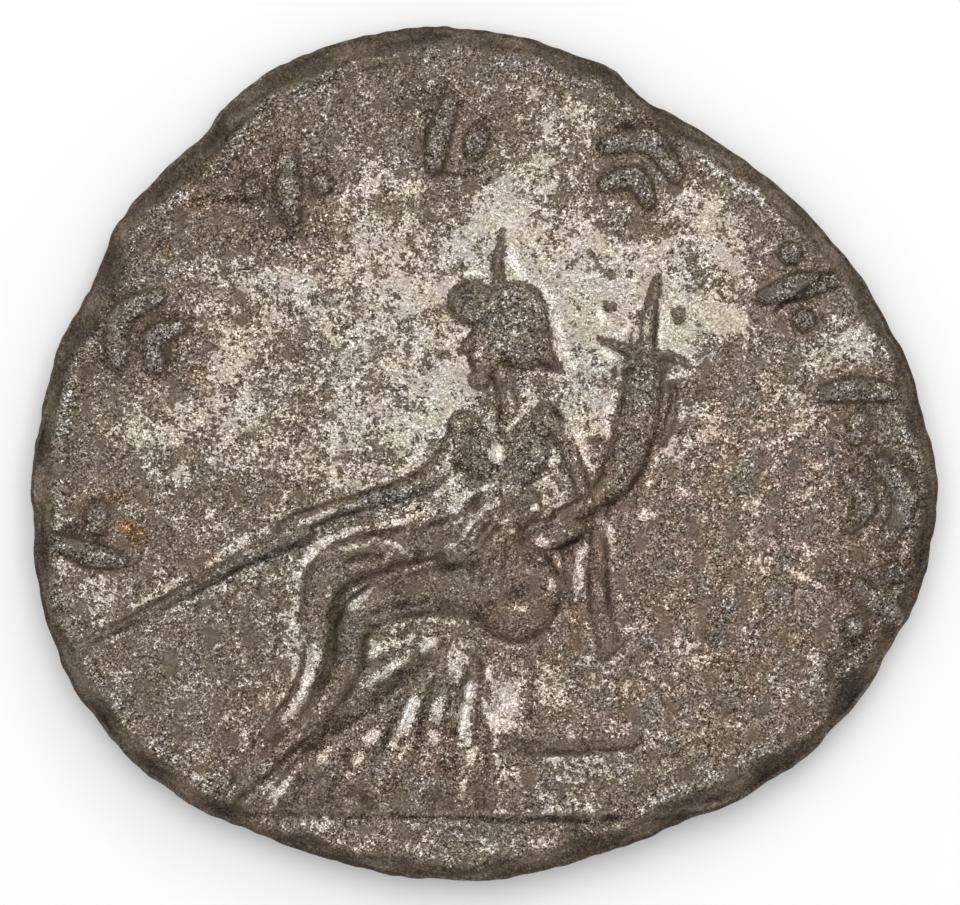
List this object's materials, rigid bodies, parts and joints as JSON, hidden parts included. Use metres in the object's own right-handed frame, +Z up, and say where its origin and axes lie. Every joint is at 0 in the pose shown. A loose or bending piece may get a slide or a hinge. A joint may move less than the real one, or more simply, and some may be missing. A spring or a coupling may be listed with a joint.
{
  "type": "antoninianus coin",
  "caption": "Worn struck coin of silver alloy with an uneven round flan, a seated draped figure in relief above and a plain radiate bust below.",
  "frame": {"origin": "under the middle of the flan's outline, on the plane that the coin rests on", "axes": "+Z up out of the face with the seated figure, +Y towards the figure's head, +X along the longest width"},
  "size_m": [0.0216, 0.0204, 0.0017],
  "materials": {
    "toned_silver": "worn silver alloy, toned brown and grey, with paler bare patches in the field"
  },
  "bodies": {
    "root": {"struck_coin": "toned_silver"}
  },
  "joints": []
}
